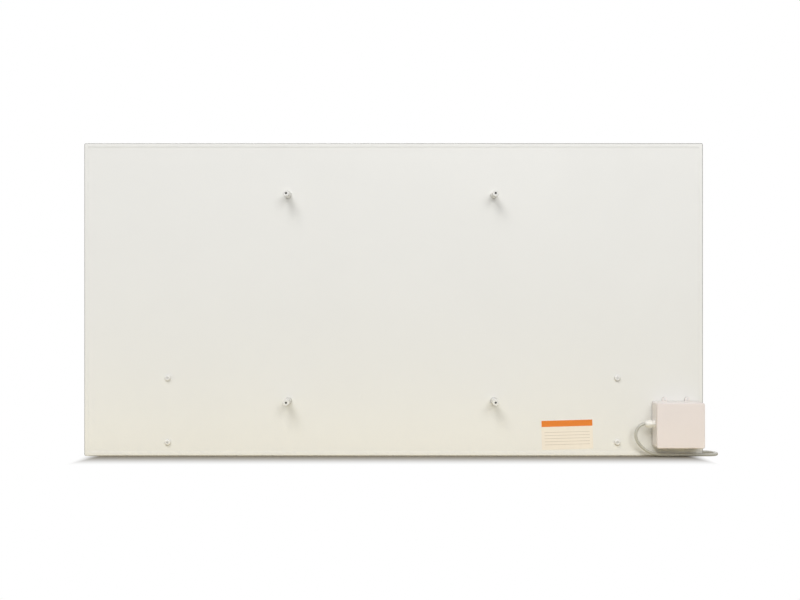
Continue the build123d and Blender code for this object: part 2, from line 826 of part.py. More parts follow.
# Wires of the heating circuit, through the grommet to the bus bars by way of the thermal cutout
wire_start_x = block_x - block_length / 2 + 3
wire_end_x = cutout_x - cutout_radius - 4
upper_wire_y = board_y + 6.6
lower_wire_y = board_y + 2.6
bus_wire_y = rear_film_y + bus_bar_thickness + bus_lug_thickness + wire_radius
return_z = cutout_z - 5
wire_bend = 2.5
wire_live = wire(
    [
        (wire_start_x, clamp_y, pole_zs[1]),
        (wire_start_x - 10, clamp_y, pole_zs[1]),
        (grommet_x, clamp_y, grommet_z - 3),
        (grommet_x, upper_wire_y, grommet_z - 3),
        (channel_x + 2, upper_wire_y, grommet_z + 8),
        (channel_x + 3, upper_wire_y, cutout_z - 7),
        (channel_x + 8, upper_wire_y, cutout_z),
        (wire_end_x, upper_wire_y, cutout_z),
    ],
    wire_radius,
    wire_bend,
)
wire_neutral = wire(
    [
        (wire_start_x, clamp_y, pole_zs[2]),
        (wire_start_x - 9, clamp_y, pole_zs[2]),
        (grommet_x + 1, clamp_y, grommet_z + 3.5),
        (grommet_x + 1, lower_wire_y, grommet_z + 3.5),
        (channel_x - 3, lower_wire_y, grommet_z + 22),
        (channel_x - 3, lower_wire_y, bus_bar_zs[1] - 20),
        (bus_lug_x, bus_wire_y, bus_bar_zs[1] - 8),
        (bus_lug_x, bus_wire_y, bus_bar_zs[1]),
    ],
    wire_radius,
    wire_bend,
)
wire_return = wire(
    [
        (wire_end_x, lower_wire_y, return_z),
        (channel_x + 7, lower_wire_y, return_z),
        (channel_x + 2, lower_wire_y, return_z - 9),
        (channel_x + 2, lower_wire_y, bus_bar_zs[0] + 20),
        (bus_lug_x, bus_wire_y, bus_bar_zs[0] + 8),
        (bus_lug_x, bus_wire_y, bus_bar_zs[0]),
    ],
    wire_radius,
    wire_bend,
)
wire_earth = wire(
    [
        (wire_start_x, clamp_y, pole_zs[0]),
        (wire_start_x - 6, clamp_y, pole_zs[0]),
        (earth_stud_x + 1, clamp_y, earth_stud_z + 12),
        (earth_stud_x, floor_y + 3.4, earth_stud_z + 9),
        (earth_stud_x, floor_y + 3.4, earth_stud_z + 5.5),
    ],
    wire_radius,
    1.5,
)

# Thermal cutout in the board's pocket, with a tab to each of its two wires
with BuildPart() as thermal_cutout:
    with BuildSketch(plane_at(board_y)):
        with Locations((cutout_x, cutout_z)):
            Circle(cutout_radius)
    extrude(amount=-cutout_height)
    fillet(thermal_cutout.edges().group_by(Axis.Y)[-1], 1.0)
    with BuildSketch(plane_at(board_y)):
        with Locations((cutout_x, cutout_z)):
            Circle(cutout_radius - 3)
    extrude(amount=-(cutout_height + 2))
    with BuildSketch(plane_at(upper_wire_y - 0.4)):
        with Locations((cutout_x - cutout_radius + 1, cutout_z)):
            Rectangle(10, 3)
    extrude(amount=-0.8)
    with BuildSketch(plane_at(lower_wire_y - 0.4)):
        with Locations((cutout_x - cutout_radius, return_z)):
            Rectangle(8, 3)
    extrude(amount=-0.8)

with BuildPart() as wiring_grommet:
    with BuildSketch(plane_at(cover_inner_y - 1)):
        with Locations((grommet_x, grommet_z)):
            Circle(grommet_hole_radius)
            Circle(grommet_hole_radius - 1.4, mode=Mode.SUBTRACT)
    extrude(amount=-(floor_y + 1 - cover_inner_y + 1))
    with BuildSketch(plane_at(floor_y)):
        with Locations((grommet_x, grommet_z)):
            Circle(grommet_hole_radius + 1.2)
            Circle(grommet_hole_radius - 1.4, mode=Mode.SUBTRACT)
    extrude(amount=-1.0)

# Earth stud, ring terminal and nut
with BuildPart() as earth_stud:
    with BuildSketch(plane_at(cover_inner_y)):
        with Locations((earth_stud_x, earth_stud_z)):
            Circle(earth_stud_radius)
    extrude(amount=-(floor_y + 12 - cover_inner_y))
    with BuildSketch(plane_at(cover_inner_y)):
        with Locations((earth_stud_x, earth_stud_z)):
            Circle(4.0)
    extrude(amount=1.0)

with BuildPart() as earth_lug:
    with BuildSketch(plane_at(floor_y)):
        with Locations((earth_stud_x, earth_stud_z)):
            Circle(4.0)
        with Locations((earth_stud_x, earth_stud_z + 6)):
            Rectangle(3.4, 9)
        with Locations((earth_stud_x, earth_stud_z)):
            Circle(earth_stud_radius + 0.1, mode=Mode.SUBTRACT)
    extrude(amount=-0.8)
    with BuildSketch(plane_at(floor_y + 0.8)):
        with Locations((earth_stud_x, earth_stud_z + 8)):
            Rectangle(3.4, 5)
    extrude(amount=-1.3)

with BuildPart() as earth_nut:
    with BuildSketch(plane_at(floor_y + 0.8)):
        with Locations((earth_stud_x, earth_stud_z)):
            RegularPolygon(4.0, 6)
            Circle(earth_stud_radius + 0.05, mode=Mode.SUBTRACT)
    extrude(amount=-3.2)

pieces = {
    "front_tray": front_tray,
    "front_film": front_film,
    "heating_element": heating_element,
    "bus_bars": bus_bars,
    "bus_lugs": bus_lugs,
    "rear_film": rear_film,
    "reflector_foil": reflector_foil,
    "insulation_board": insulation_board,
    "stiffener_box_side": stiffener_box_side,
    "stiffener_plain_side": stiffener_plain_side,
    "rear_cover": rear_cover,
    "wall_post_nuts": wall_post_nuts,
    "wall_posts": wall_posts,
    "foot_nuts": foot_nuts,
    "foot_screws": foot_screws,
    "box_gasket": box_gasket_pad,
    "box_base": box_base,
    "box_lid": box_lid,
    "box_screws": box_screws,
    "gland_washer": gland_washer_ring,
    "gland_body": gland_body,
    "gland_locknut": gland_locknut,
    "gland_seal": gland_seal,
    "gland_cap": gland_cap,
    "cord_inside": cord_inside,
    "cord_lead": cord_lead,
    "cord_hank": cord_hank,
    "cord_tie": cord_tie,
    "cord_plug_run": cord_plug_run,
    "plug_boot": plug_boot,
    "plug_body": plug_body,
    "plug_pins": plug_pins,
    "plug_clips": plug_clips,
    "rating_plate": rating_plate,
    "rating_band": rating_band,
    "terminal_block": terminal_block,
    "terminal_clamps": terminal_clamps,
    "terminal_screws": terminal_screws,
    "core_live": core_live,
    "core_neutral": core_neutral,
    "core_earth": core_earth,
    "wire_live": wire_live,
    "wire_neutral": wire_neutral,
    "wire_return": wire_return,
    "wire_earth": wire_earth,
    "thermal_cutout": thermal_cutout,
    "wiring_grommet": wiring_grommet,
    "earth_stud": earth_stud,
    "earth_lug": earth_lug,
    "earth_nut": earth_nut,
}

os.makedirs("parts", exist_ok=True)
for name, piece in pieces.items():
    piece.part.label = name
    export_step(piece.part, f"parts/{name}.step")
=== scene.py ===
import math

import bmesh
import bpy
from mathutils import Matrix, Vector


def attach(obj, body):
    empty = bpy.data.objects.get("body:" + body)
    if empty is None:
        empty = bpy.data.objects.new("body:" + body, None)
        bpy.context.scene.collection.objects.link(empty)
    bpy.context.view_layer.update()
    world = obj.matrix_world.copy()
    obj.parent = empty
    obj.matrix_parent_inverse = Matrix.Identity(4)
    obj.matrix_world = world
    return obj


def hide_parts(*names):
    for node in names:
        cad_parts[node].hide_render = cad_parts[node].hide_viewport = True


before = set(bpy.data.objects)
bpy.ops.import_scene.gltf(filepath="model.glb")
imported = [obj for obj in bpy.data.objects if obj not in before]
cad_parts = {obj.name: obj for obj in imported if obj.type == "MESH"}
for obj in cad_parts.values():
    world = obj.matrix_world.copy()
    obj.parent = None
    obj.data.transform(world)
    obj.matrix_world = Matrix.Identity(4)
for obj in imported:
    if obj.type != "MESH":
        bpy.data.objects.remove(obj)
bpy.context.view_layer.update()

# The scene is in metres, the settings mostly in millimetres. X runs along the panel and Z up, the
# radiating face looks along -Y and the rear, which the camera sees, along +Y.
mm = 0.001
body = "root"


def toLinear(hexColour):
    channels = [int(hexColour[i:i + 2], 16) / 255 for i in (1, 3, 5)]
    return tuple(c / 12.92 if c <= 0.04045 else ((c + 0.055) / 1.055) ** 2.4 for c in channels) + (1.0,)


def addNode(tree, kind, settings=None, links=None):
    node = tree.nodes.new(kind)
    for key, value in (settings or {}).items():
        if isinstance(key, str) and hasattr(node, key):
            setattr(node, key, value)
        else:
            node.inputs[key].default_value = value
    for key, source in (links or {}).items():
        tree.links.new(source, node.inputs[key])
    return node


def newMaterial(name):
    material = bpy.data.materials.new(name)
    material.use_nodes = True
    material.node_tree.nodes.clear()
    return material, material.node_tree


def surfaceMaterial(name, look):
    # One finish: two close tones in soft patches, a roughness that wanders, and a fine relief
    material, tree = newMaterial(name)
    spread = 0.04
    place = addNode(tree, "ShaderNodeTexCoord")
    patches = addNode(tree, "ShaderNodeTexNoise",
                      {"Scale": 1000 / look["patch"], "Detail": 3.0, "Roughness": 0.55},
                      {"Vector": place.outputs["Object"]})
    tone = addNode(tree, "ShaderNodeMix",
                   {"data_type": "RGBA", 6: toLinear(look["colour"]), 7: toLinear(look["second"])},
                   {0: patches.outputs["Fac"]})
    wander = addNode(tree, "ShaderNodeMapRange",
                     {"From Min": 0.3, "From Max": 0.7,
                      "To Min": look["rough"] - spread, "To Max": look["rough"] + spread},
                     {"Value": patches.outputs["Fac"]})
    grain = addNode(tree, "ShaderNodeTexNoise",
                    {"Scale": 1000 / look["grain"], "Detail": look.get("grainDetail", 2.0)},
                    {"Vector": place.outputs["Object"]})
    relief = addNode(tree, "ShaderNodeBump",
                     {"Strength": look["relief"], "Distance": look.get("reliefDepth", 0.05) * mm},
                     {"Height": grain.outputs["Fac"]})
    shader = addNode(tree, "ShaderNodeBsdfPrincipled",
                     {"Metallic": look.get("metal", 0.0)},
                     {"Base Color": tone.outputs[2], "Roughness": wander.outputs["Result"],
                      "Normal": relief.outputs["Normal"]})
    if "ior" in look:
        shader.inputs["IOR"].default_value = look["ior"]
    if "soft" in look:
        shader.inputs["Subsurface Weight"].default_value = look["soft"]
        shader.inputs["Subsurface Scale"].default_value = look.get("softDepth", 1.0) * mm
        shader.inputs["Subsurface Radius"].default_value = (1.0, 0.9, 0.8)
    addNode(tree, "ShaderNodeOutputMaterial", None, {"Surface": shader.outputs["BSDF"]})
    return material


# Painted shade where the casing's rear fold turns away from the light: a greyer line along its sides
# and top, reaching this far in from the panel's outline and this deep from its rear
foldShade = {
    "halfWidth": 602.5,
    "top": 609.0,
    "rear": -10.0,
    "reach": 1.7,
    "depth": 2.6,
    "colour": "#a3a29d",
}


def paintFoldShade(material, fold):
    # Paints shade on the outermost edge of the casing's rear, where the fold begins, as a greyer colour
    tree = material.node_tree
    shader = tree.nodes["Principled BSDF"]
    ground = shader.inputs["Base Color"].links[0].from_socket
    place = addNode(tree, "ShaderNodeTexCoord")
    parts = addNode(tree, "ShaderNodeSeparateXYZ", None, {"Vector": place.outputs["Object"]})
    side = addNode(tree, "ShaderNodeMath", {"operation": "ABSOLUTE"}, {0: parts.outputs["X"]})
    atSide = addNode(tree, "ShaderNodeMath",
                     {"operation": "GREATER_THAN", 1: (fold["halfWidth"] - fold["reach"]) * mm},
                     {0: side.outputs[0]})
    atTop = addNode(tree, "ShaderNodeMath",
                    {"operation": "GREATER_THAN", 1: (fold["top"] - fold["reach"]) * mm},
                    {0: parts.outputs["Z"]})
    atEdge = addNode(tree, "ShaderNodeMath", {"operation": "MAXIMUM"},
                     {0: atSide.outputs[0], 1: atTop.outputs[0]})
    atRear = addNode(tree, "ShaderNodeMath",
                     {"operation": "GREATER_THAN", 1: (fold["rear"] - fold["depth"]) * mm},
                     {0: parts.outputs["Y"]})
    amount = addNode(tree, "ShaderNodeMath", {"operation": "MULTIPLY"},
                     {0: atEdge.outputs[0], 1: atRear.outputs[0]})
    foldShaded = addNode(tree, "ShaderNodeMix", {"data_type": "RGBA", 7: toLinear(fold["colour"])},
                     {0: amount.outputs[0], 6: ground})
    tree.links.new(foldShaded.outputs[2], shader.inputs["Base Color"])


# Ruled lines of the blank rating plate: the middle of its field in the scene, and their sizes round it
plateLines = {
    "middle": (-338.0, -10.0, 34.5),
    "turn": -1.6,
    "pitch": 6.0,
    "line": 0.9,
    "halfWidth": 44.0,
    "halfHeight": 16.5,
    "ink": "#c9bfb2",
}


def ruleLines(material, ruled):
    # Faint ruled lines on the blank plate, level with its turned edge, kept clear of its margins
    tree = material.node_tree
    shader = tree.nodes["Principled BSDF"]
    ground = shader.inputs["Base Color"].links[0].from_socket
    place = addNode(tree, "ShaderNodeTexCoord")
    turned = addNode(tree, "ShaderNodeMapping",
                     {"vector_type": "TEXTURE", "Location": [c * mm for c in ruled["middle"]],
                      "Rotation": (0, math.radians(-ruled["turn"]), 0)}, {"Vector": place.outputs["Object"]})
    parts = addNode(tree, "ShaderNodeSeparateXYZ", None, {"Vector": turned.outputs["Vector"]})
    steps = addNode(tree, "ShaderNodeMath", {"operation": "PINGPONG", 1: ruled["pitch"] * mm / 2},
                    {0: parts.outputs["Z"]})
    onLine = addNode(tree, "ShaderNodeMath", {"operation": "LESS_THAN", 1: ruled["line"] * mm / 2},
                     {0: steps.outputs[0]})
    amount = onLine
    for axis, half in (("X", ruled["halfWidth"]), ("Z", ruled["halfHeight"])):
        distance = addNode(tree, "ShaderNodeMath", {"operation": "ABSOLUTE"}, {0: parts.outputs[axis]})
        within = addNode(tree, "ShaderNodeMath", {"operation": "LESS_THAN", 1: half * mm},
                         {0: distance.outputs[0]})
        amount = addNode(tree, "ShaderNodeMath", {"operation": "MULTIPLY"},
                         {0: amount.outputs[0], 1: within.outputs[0]})
    inked = addNode(tree, "ShaderNodeMix", {"data_type": "RGBA", 7: toLinear(ruled["ink"])},
                    {0: amount.outputs[0], 6: ground})
    tree.links.new(inked.outputs[2], shader.inputs["Base Color"])


# Finishes. Patch and grain are the sizes of the tone patches and of the relief, in millimetres.
finishes = {
    # Polyester powder coat on steel sheet: a satin off-white with a faint orange peel, drawn at 3 mm so
    # that it shows
    "powderCoatCasing": {"colour": "#e8e7e3", "second": "#e4e3df", "patch": 160, "rough": 0.42,
                         "grain": 3.0, "relief": 0.10, "ior": 1.5},
    "powderCoatCover": {"colour": "#e7e6e2", "second": "#e3e2de", "patch": 220, "rough": 0.47,
                        "grain": 3.0, "relief": 0.10, "ior": 1.5},
    "powderCoatPost": {"colour": "#e4e3df", "second": "#dddcd8", "patch": 12, "rough": 0.38, "grain": 1.5,
                       "relief": 0.10, "ior": 1.5},
    "powderCoatScrew": {"colour": "#e9e8e5", "second": "#dedddb", "patch": 6, "rough": 0.34, "grain": 1.0,
                        "relief": 0.10, "ior": 1.5},
    # Injection-moulded ABS: matt, a little warmer than the sheet metal beside it
    "mouldedAbsBase": {"colour": "#ebe5e1", "second": "#e6e0dc", "patch": 40, "rough": 0.46, "grain": 0.8,
                       "relief": 0.12, "ior": 1.53, "soft": 0.08, "softDepth": 0.6},
    "mouldedAbsLid": {"colour": "#e7dedb", "second": "#e2d9d6", "patch": 40, "rough": 0.5, "grain": 0.8,
                      "relief": 0.15, "ior": 1.53, "soft": 0.08, "softDepth": 0.6},
    # White nylon of a cable gland: smooth, slightly see-through at its edges
    "mouldedNylon": {"colour": "#ebe9e4", "second": "#e3e1db", "patch": 10, "rough": 0.32, "grain": 1.2,
                     "relief": 0.06, "ior": 1.53, "soft": 0.18, "softDepth": 1.0},
    # Plasticised PVC sheath: extruded, smooth and faintly greasy
    "extrudedPvcSheath": {"colour": "#bfbeb7", "second": "#b4b3ab", "patch": 9, "rough": 0.36,
                          "grain": 2.4, "relief": 0.12, "ior": 1.53, "soft": 0.10, "softDepth": 0.8},
    "mouldedPvcPlug": {"colour": "#e3e3e1", "second": "#dadad8", "patch": 14, "rough": 0.38, "grain": 0.9,
                       "relief": 0.14, "ior": 1.53, "soft": 0.10, "softDepth": 0.8},
    # Hook-and-loop tape: woven nylon, dull
    "wovenTieTape": {"colour": "#d9d9d6", "second": "#c6c6c2", "patch": 1.4, "rough": 0.82, "grain": 0.7,
                     "relief": 0.55, "reliefDepth": 0.25, "ior": 1.5},
    # Metals: nickel on the plug's pins, then bare brass, zinc, galvanised steel, copper and foil
    "nickelPlate": {"colour": "#c9c5bc", "second": "#bdb8ae", "patch": 5, "rough": 0.24, "grain": 1.0,
                    "relief": 0.05, "metal": 1.0},
    "bareBrass": {"colour": "#c9a868", "second": "#b8965a", "patch": 4, "rough": 0.32, "grain": 0.8,
                  "relief": 0.08, "metal": 1.0},
    "zincPlate": {"colour": "#c8c8c4", "second": "#b4b4b0", "patch": 4, "rough": 0.36, "grain": 0.7,
                  "relief": 0.10, "metal": 1.0},
    "galvanisedSteel": {"colour": "#b9bbbb", "second": "#a3a6a7", "patch": 9, "rough": 0.42, "grain": 1.5,
                        "relief": 0.08, "metal": 1.0},
    "rolledCopper": {"colour": "#c77f5a", "second": "#b06d4b", "patch": 8, "rough": 0.34, "grain": 1.2,
                     "relief": 0.06, "metal": 1.0},
    "rolledFoil": {"colour": "#d7d8da", "second": "#c8cacc", "patch": 30, "rough": 0.28, "grain": 6.0,
                   "relief": 0.25, "reliefDepth": 0.3, "metal": 1.0},
    # Mineral fibre board: felted strands, yellow brown
    "feltedFibre": {"colour": "#cdbf8c", "second": "#b9a873", "patch": 6, "rough": 0.95, "grain": 1.2,
                    "relief": 0.8, "reliefDepth": 0.6, "grainDetail": 5.0},
    # Inside the casing and the box: films, laminate, rubber, the cores' insulation and ceramic
    "polyimideFilm": {"colour": "#c98f3c", "second": "#c1873a", "patch": 60, "rough": 0.3, "grain": 5.0,
                      "relief": 0.05, "ior": 1.7},
    "carbonLaminate": {"colour": "#242425", "second": "#1b1b1c", "patch": 20, "rough": 0.55, "grain": 2.0,
                       "relief": 0.10, "ior": 1.5},
    "nitrileRubber": {"colour": "#3a3a39", "second": "#303030", "patch": 5, "rough": 0.75, "grain": 0.6,
                      "relief": 0.2, "ior": 1.52},
    "brownInsulation": {"colour": "#5d3a26", "second": "#53331f", "patch": 6, "rough": 0.4, "grain": 1.0,
                        "relief": 0.08, "ior": 1.53},
    "blueInsulation": {"colour": "#2f5ea3", "second": "#2a5596", "patch": 6, "rough": 0.4, "grain": 1.0,
                       "relief": 0.08, "ior": 1.53},
    "greenInsulation": {"colour": "#6fa13a", "second": "#d3c23c", "patch": 2.2, "rough": 0.4,
                        "grain": 1.0, "relief": 0.08, "ior": 1.53},
    "steatite": {"colour": "#dcd6cb", "second": "#d2ccc0", "patch": 4, "rough": 0.5, "grain": 0.6,
                 "relief": 0.15, "ior": 1.55},
    # Coated paper of the rating plate, and the print of its coloured band
    "coatedPaper": {"colour": "#eee6da", "second": "#e9e0d3", "patch": 18, "rough": 0.5, "grain": 1.4,
                    "relief": 0.12, "ior": 1.5},
    "printedBand": {"colour": "#e48128", "second": "#dc7921", "patch": 9, "rough": 0.45, "grain": 1.4,
                    "relief": 0.12, "ior": 1.5},
}
materials = {name: surfaceMaterial(name, look) for name, look in finishes.items()}
# Painted shade on the casing's rear fold
paintFoldShade(materials["powderCoatCasing"], foldShade)
ruleLines(materials["coatedPaper"], plateLines)
print("materials made:", len(materials))

# Which finish each node of the frame has
nodeFinish = {
    "front_tray": "powderCoatCasing", "rear_cover": "powderCoatCover",
    "wall_posts": "powderCoatPost", "foot_screws": "powderCoatScrew",
    "box_base": "mouldedAbsBase", "box_lid": "mouldedAbsLid",
    "gland_washer": "mouldedNylon", "gland_body": "mouldedNylon", "gland_locknut": "mouldedNylon",
    "gland_cap": "mouldedNylon", "gland_seal": "nitrileRubber",
    "box_gasket": "nitrileRubber", "wiring_grommet": "nitrileRubber",
    "cord_inside": "extrudedPvcSheath", "cord_lead": "extrudedPvcSheath", "cord_hank": "extrudedPvcSheath",
    "cord_plug_run": "extrudedPvcSheath", "cord_tie": "wovenTieTape",
    "plug_boot": "mouldedPvcPlug", "plug_body": "mouldedPvcPlug",
    "plug_pins": "nickelPlate", "plug_clips": "bareBrass",
    "rating_plate": "coatedPaper", "rating_band": "printedBand",
    "front_film": "polyimideFilm", "rear_film": "polyimideFilm", "heating_element": "carbonLaminate",
    "bus_bars": "rolledCopper", "bus_lugs": "bareBrass", "reflector_foil": "rolledFoil",
    "insulation_board": "feltedFibre", "stiffener_box_side": "galvanisedSteel",
    "stiffener_plain_side": "galvanisedSteel", "wall_post_nuts": "zincPlate", "foot_nuts": "zincPlate",
    "box_screws": "powderCoatScrew", "terminal_block": "mouldedNylon", "terminal_clamps": "bareBrass",
    "terminal_screws": "zincPlate", "core_live": "brownInsulation", "core_neutral": "blueInsulation",
    "core_earth": "greenInsulation", "wire_live": "brownInsulation", "wire_neutral": "blueInsulation",
    "wire_return": "brownInsulation", "wire_earth": "greenInsulation", "thermal_cutout": "steatite",
    "earth_stud": "zincPlate", "earth_lug": "bareBrass", "earth_nut": "zincPlate",
}
for nodeName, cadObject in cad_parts.items():
    cadObject.data.materials.clear()
    cadObject.data.materials.append(materials[nodeFinish[nodeName]])
print("finishes on", len(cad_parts), "frame nodes")


def finishPiece(mesh, name, finish, smoothAngle=35.0):
    # Turns a bmesh into a piece of the object, smooth except at its sharp edges
    bmesh.ops.remove_doubles(mesh, verts=mesh.verts, dist=1e-6)
    bmesh.ops.recalc_face_normals(mesh, faces=mesh.faces)
    for face in mesh.faces:
        face.smooth = True
    limit = math.radians(smoothAngle)
    for edge in mesh.edges:
        edge.smooth = len(edge.link_faces) == 2 and edge.calc_face_angle(math.pi) < limit
    openEdges = sum(1 for edge in mesh.edges if len(edge.link_faces) != 2)
    print(name, "faces:", len(mesh.faces), "open edges:", openEdges)
    data = bpy.data.meshes.new(name)
    mesh.to_mesh(data)
    mesh.free()
    piece = bpy.data.objects.new(name, data)
    bpy.context.scene.collection.objects.link(piece)
    data.materials.append(materials[finish])
    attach(piece, body)
    return piece


def turnedShape(mesh, profile, centre, steps=48):
    # Spins a profile of (along X, radius) pairs round an axis along X through centre
    verts = [mesh.verts.new((x, centre[0], centre[1] + radius)) for x, radius in profile]
    edges = [mesh.edges.new(pair) for pair in zip(verts, verts[1:])]
    bmesh.ops.spin(mesh, geom=verts + edges, cent=(0, centre[0], centre[1]), axis=(1, 0, 0), dvec=(0, 0, 0),
                   angle=2 * math.pi, steps=steps, use_merge=True, use_duplicate=False)


cordFacts = {
    "radius": 3.0 * mm,
    "exit": (-484.0, 11.0, 65.0),
    "hankCentre": (-515.0, -62.3),
    "foldOffset": 25.7,
    "waist": 4.5,
    "outerTrack": 24.3,
    "innerTrack": 18.0,
    "layers": (3.9, 10.1, 16.3),
    # How far a strand strays sideways and upwards in places
    "stray": 1.3,
    "rise": 0.4,
    "turns": 5,
    "lengthMetres": 1.64,
}

# Mains lead: out of the gland, down to the floor, under the box, round the panel's end and into the
# hank in front of it
leadRoute = [
    (-484.0, 11.0, 65.0), (-478.6, 11.0, 65.0), (-470.6, 10.9, 57.8), (-466.0, 10.4, 46.8),
    (-468.0, 9.2, 33.5), (-478.5, 6.8, 19.8), (-495.0, 3.0, 7.8), (-520.0, -2.5, 3.05),
    (-552.0, -5.6, 3.05), (-586.0, -5.0, 3.05), (-605.0, -5.4, 3.05), (-621.0, -5.6, 3.05),
    (-631.6, -16.1, 3.05), (-631.6, -31.0, 3.05), (-621.0, -41.6, 3.05), (-603.5, -43.6, 3.05),
    (-587.5, -51.0, 3.05), (-576.5, -65.0, 3.05), (-566.0, -78.4, 3.4), (-552.0, -85.8, 3.9),
]
plugRoute = [
    (-482.0, -86.4, 16.4), (-470.0, -84.4, 16.8), (-452.0, -74.0, 17.6), (-434.0, -65.0, 18.0),
    (-420.0, -65.0, 18.0),
]

# Where each turn of the hank changes track or layer: turn number, distance from its middle line, height
outer, inner = cordFacts["outerTrack"], cordFacts["innerTrack"]
low, mid, high = cordFacts["layers"]
stray, rise = cordFacts["stray"], cordFacts["rise"]
hankMoves = [
    (0.00, outer, low), (0.74, outer, low), (0.90, inner, low), (1.60, inner, low), (1.72, inner, mid),
    (2.20, inner, mid), (2.35, inner - stray, mid), (2.46, inner, mid), (2.58, outer, mid),
    (3.26, outer, mid), (3.44, inner, high), (4.10, inner, high), (4.24, outer, high),
    (4.35, outer + stray, high + rise), (4.50, outer, high), (5.20, outer, high),
]


def hankTrack(turn):
    # Distance from the hank's middle line and height at this turn, eased from one move to the next
    for (t0, r0, z0), (t1, r1, z1) in zip(hankMoves, hankMoves[1:]):
        if t0 <= turn <= t1:
            part = (turn - t0) / (t1 - t0)
            part = part * part * (3 - 2 * part)
            return r0 + (r1 - r0) * part, z0 + (z1 - z0) * part
    return outer, high


def hankPoints():
    # A flat coil with two straight sides, drawn in at its waist by the tie, and two folded ends
    centreX, centreY = cordFacts["hankCentre"]
    offset, waist = cordFacts["foldOffset"], cordFacts["waist"]
    sideSteps = (-0.6, 0.0, 0.6)
    foldAngles = (-60, -20, 20, 60)
    foldStep = math.radians(foldAngles[1] - foldAngles[0])
    # A quadratic spline runs inside its points on a fold, so they lie further out
    reach = 1 / (0.75 + 0.25 * math.cos(foldStep))
    places = [("side", -1, s) for s in sideSteps] + [("fold", 1, a) for a in foldAngles]
    places += [("side", 1, -s) for s in sideSteps] + [("fold", -1, a) for a in foldAngles]
    perTurn = len(places)
    points = []
    for count in range(cordFacts["turns"] * perTurn + len(sideSteps)):
        kind, side, value = places[count % perTurn]
        radius, height = hankTrack(count / perTurn)
        if kind == "side":
            drawnIn = waist * math.cos(value * math.pi / 2) ** 2
            points.append((centreX + value * offset, centreY + side * (radius - drawnIn), height))
        else:
            angle = math.radians(value)
            points.append((centreX + side * (offset + radius * reach * math.cos(angle)),
                           centreY + side * radius * reach * math.sin(angle), height))
    return points


cordPoints = leadRoute + hankPoints() + plugRoute
cordCurve = bpy.data.curves.new("mainsLead", "CURVE")
cordCurve.dimensions = "3D"
spline = cordCurve.splines.new("NURBS")
spline.points.add(len(cordPoints) - 1)
for point, place in zip(spline.points, cordPoints):
    point.co = (*(c * mm for c in place), 1.0)
spline.order_u = 3
spline.use_endpoint_u = True
spline.resolution_u = 8
cordCurve.bevel_depth = cordFacts["radius"]
cordCurve.bevel_resolution = 6
cordCurve.use_fill_caps = True
cordCurve.materials.append(materials["extrudedPvcSheath"])
mainsLead = bpy.data.objects.new("mainsLead", cordCurve)
bpy.context.scene.collection.objects.link(mainsLead)
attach(mainsLead, body)
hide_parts("cord_lead", "cord_hank", "cord_plug_run")
print("lead points:", len(cordPoints))


tieFacts = {
    "width": 10.0,
    "thickness": 0.8,
    "halfSpan": 23.9,
    "top": 19.6,
    "bottomInside": 0.85,
    "round": 2.4,
    # The lapped end on top: its size, its place along the hank's width, and its slight turn in degrees
    "lapWidth": 9.8,
    "lapLength": 21.0,
    "lapShift": 4.0,
    "lapLift": 1.0,
    "lapTurn": 2.5,
    "lapRound": 0.22,
}


def makeTie():
    # A strap round the hank's middle: a rounded hoop with a lapped end
    facts = tieFacts
    centreX, centreY = (c * mm for c in cordFacts["hankCentre"])
    mesh = bmesh.new()
    half = facts["halfSpan"] * mm
    low, high = facts["bottomInside"] * mm, facts["top"] * mm
    corners = [(centreX, centreY + sy * half, z) for sy, z in ((-1, low), (1, low), (1, high), (-1, high))]
    mesh.faces.new([mesh.verts.new(c) for c in corners])
    bmesh.ops.bevel(mesh, geom=list(mesh.verts), offset=facts["round"] * mm, segments=5, profile=0.5,
                    affect="VERTICES", material=-1)
    mesh.faces.ensure_lookup_table()
    face = mesh.faces[0]
    rim = list(face.edges)
    bmesh.ops.delete(mesh, geom=[face], context="FACES_ONLY")
    width = facts["width"] * mm
    made = bmesh.ops.extrude_edge_only(mesh, edges=rim)["geom"]
    bmesh.ops.translate(mesh, verts=[g for g in made if isinstance(g, bmesh.types.BMVert)], vec=(width, 0, 0))
    bmesh.ops.translate(mesh, verts=mesh.verts, vec=(-width / 2, 0, 0))
    bmesh.ops.recalc_face_normals(mesh, faces=mesh.faces)
    bmesh.ops.solidify(mesh, geom=list(mesh.faces), thickness=facts["thickness"] * mm)
    # The lapped end lies on the hoop's top, with its tip a little askew
    lap = bmesh.ops.create_cube(mesh, size=1.0)["verts"]
    bmesh.ops.scale(mesh, verts=lap,
                    vec=(facts["lapWidth"] * mm, facts["lapLength"] * mm, facts["thickness"] * mm))
    turn = Matrix.Rotation(math.radians(facts["lapTurn"]), 3, "Z")
    bmesh.ops.rotate(mesh, verts=lap, cent=(0, 0, 0), matrix=turn)
    bmesh.ops.translate(mesh, verts=lap,
                        vec=(centreX, centreY + facts["lapShift"] * mm, high + facts["lapLift"] * mm))
    edges = list({e for v in lap for e in v.link_edges})
    bmesh.ops.bevel(mesh, geom=edges, offset=facts["lapRound"] * mm, segments=2, profile=0.5,
                    affect="EDGES", material=-1)
    return finishPiece(mesh, "leadTie", "wovenTieTape")


leadTie = makeTie()
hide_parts("cord_tie")


glandFacts = {
    "axisY": 11.0,
    "axisZ": 65.0,
    "capStart": -497.2,
    "capEnd": -484.0,
    "hexLength": 6.6,
    "hexRound": 0.5,
    "acrossFlats": 14.4,
    "mouthRadius": 3.35,
    "boreDepth": 4.0,
    "domeProfile": (
        (6.4, 6.95), (8.2, 6.8), (9.9, 6.4), (11.2, 5.75), (12.3, 5.0), (12.9, 4.4), (13.2, 3.75),
    ),
}


